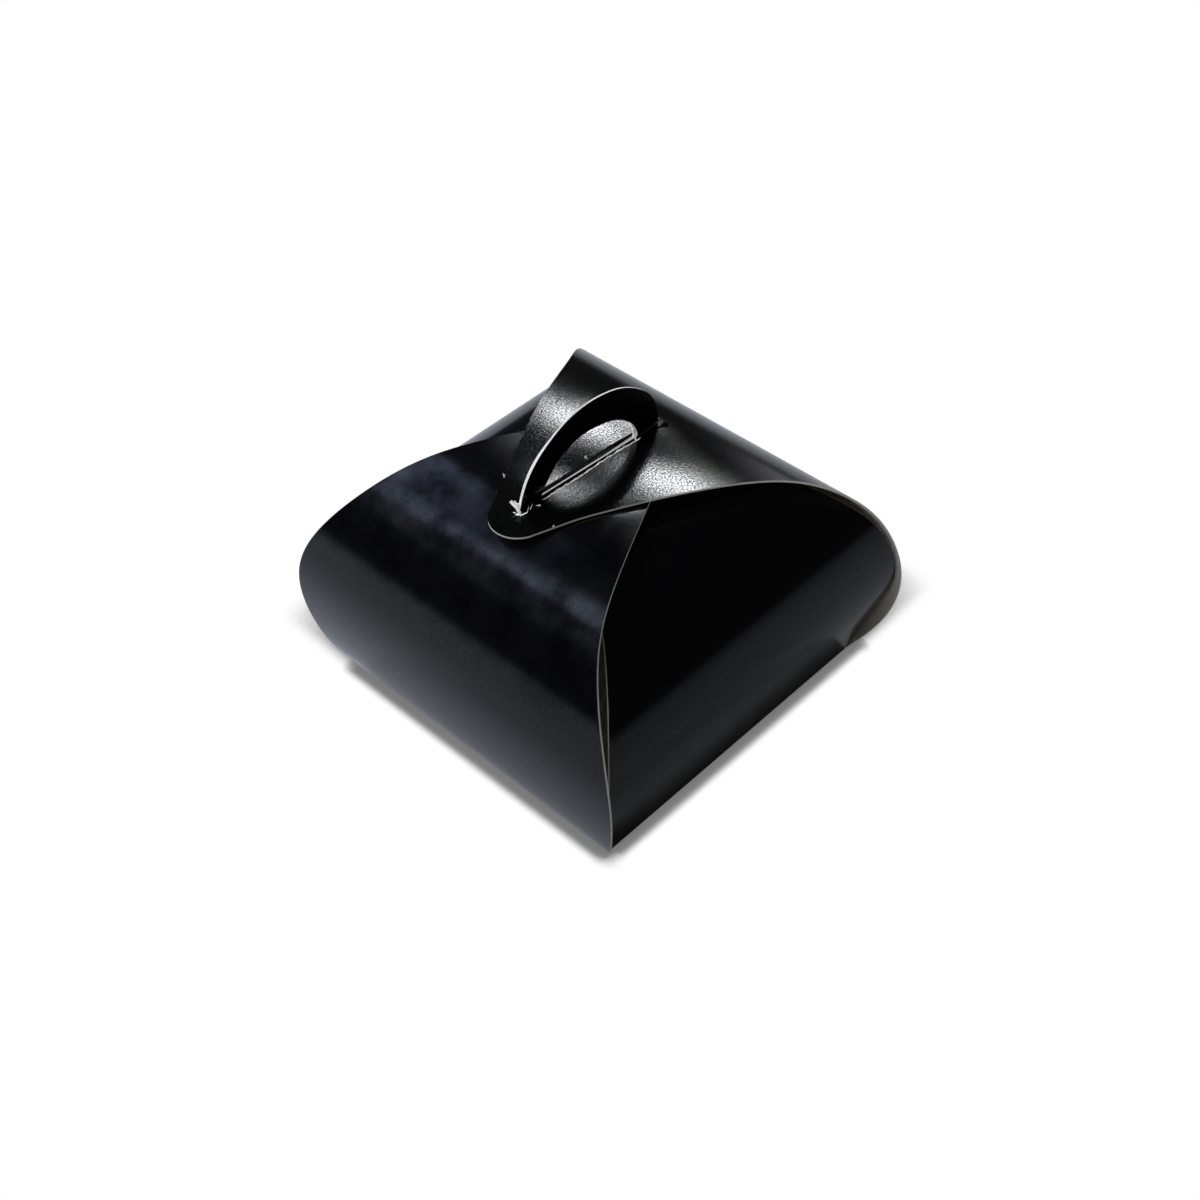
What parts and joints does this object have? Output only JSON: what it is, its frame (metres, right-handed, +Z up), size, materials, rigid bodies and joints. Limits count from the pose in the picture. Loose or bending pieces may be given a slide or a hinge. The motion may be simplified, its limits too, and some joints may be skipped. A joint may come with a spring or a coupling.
{
  "type": "folded card favor box",
  "caption": "Square favor box of folded black card: curved petals close over the top, and a half-round card handle stands up through their slots.",
  "frame": {"origin": "middle of the base panel's underside, at the bottom centre of the bounding box", "axes": "+Z up, X along the handle with +X towards the topmost petal, -Y towards the front petal"},
  "size_m": [0.0719, 0.0722, 0.0573],
  "materials": {
    "coated_card": "satin, coated black outside",
    "coated_card_top": "satin, coated black outside",
    "coated_card_handle": "satin, coated black, white cut edges",
    "uncoated_card": "matte, uncoated inside"
  },
  "bodies": {
    "base": {"base_panel": "uncoated_card"},
    "front_wall": {"front_wall": "coated_card"},
    "front_lid": {"front_lid": "coated_card"},
    "back_wall": {"back_wall": "coated_card"},
    "back_lid": {"back_lid": "coated_card"},
    "left_wall": {"left_wall": "coated_card"},
    "left_lid": {"left_lid": "coated_card"},
    "right_wall": {"right_wall": "coated_card_top"},
    "right_lid": {"right_lid": "coated_card_top"},
    "front_handle": {"front_handle": "coated_card_handle"},
    "back_handle": {"back_handle": "coated_card_handle"}
  },
  "joints": [
    {"name": "front_wall_fold", "type": "hinge", "parent": "base", "child": "front_wall", "pos_m": [0, -0.03, 0], "axis": [1, 0, 0], "range_deg": [0, 60]},
    {"name": "front_lid_bend", "type": "hinge", "parent": "front_wall", "child": "front_lid", "pos_m": [0, -0.03068, 0.03252], "axis": [1, 0, 0], "range_deg": [0, 60], "deforming": ["front_lid"]},
    {"name": "back_wall_fold", "type": "hinge", "parent": "base", "child": "back_wall", "pos_m": [0, 0.03, 0], "axis": [-1, 0, 0], "range_deg": [0, 60]},
    {"name": "back_lid_bend", "type": "hinge", "parent": "back_wall", "child": "back_lid", "pos_m": [0, 0.03068, 0.03252], "axis": [-1, 0, 0], "range_deg": [0, 60], "deforming": ["back_lid"]},
    {"name": "left_wall_fold", "type": "hinge", "parent": "base", "child": "left_wall", "pos_m": [-0.03, 0, 0], "axis": [0, -1, 0], "range_deg": [0, 56]},
    {"name": "left_lid_bend", "type": "hinge", "parent": "left_wall", "child": "left_lid", "pos_m": [-0.03072, 0, 0.03552], "axis": [0, -1, 0], "range_deg": [0, 56], "deforming": ["left_lid"]},
    {"name": "right_wall_fold", "type": "hinge", "parent": "base", "child": "right_wall", "pos_m": [0.03, 0, 0], "axis": [0, 1, 0], "range_deg": [0, 51]},
    {"name": "right_lid_bend", "type": "hinge", "parent": "right_wall", "child": "right_lid", "pos_m": [0.0307, 0, 0.03293], "axis": [0, 1, 0], "range_deg": [0, 51], "deforming": ["right_lid"]},
    {"name": "front_handle_fold", "type": "hinge", "parent": "front_lid", "child": "front_handle", "pos_m": [-0.001, -0.00032, 0.04655], "axis": [1, 0, 0], "range_deg": [0, 80]},
    {"name": "back_handle_fold", "type": "hinge", "parent": "back_lid", "child": "back_handle", "pos_m": [-0.001, 0.00032, 0.04655], "axis": [-1, 0, 0], "range_deg": [0, 80]}
  ],
  "couplings": [
    {"joint": "front_lid_bend", "follows": "front_wall_fold", "ratio": 1},
    {"joint": "back_lid_bend", "follows": "back_wall_fold", "ratio": 1},
    {"joint": "left_lid_bend", "follows": "left_wall_fold", "ratio": 1},
    {"joint": "right_lid_bend", "follows": "right_wall_fold", "ratio": 1}
  ]
}
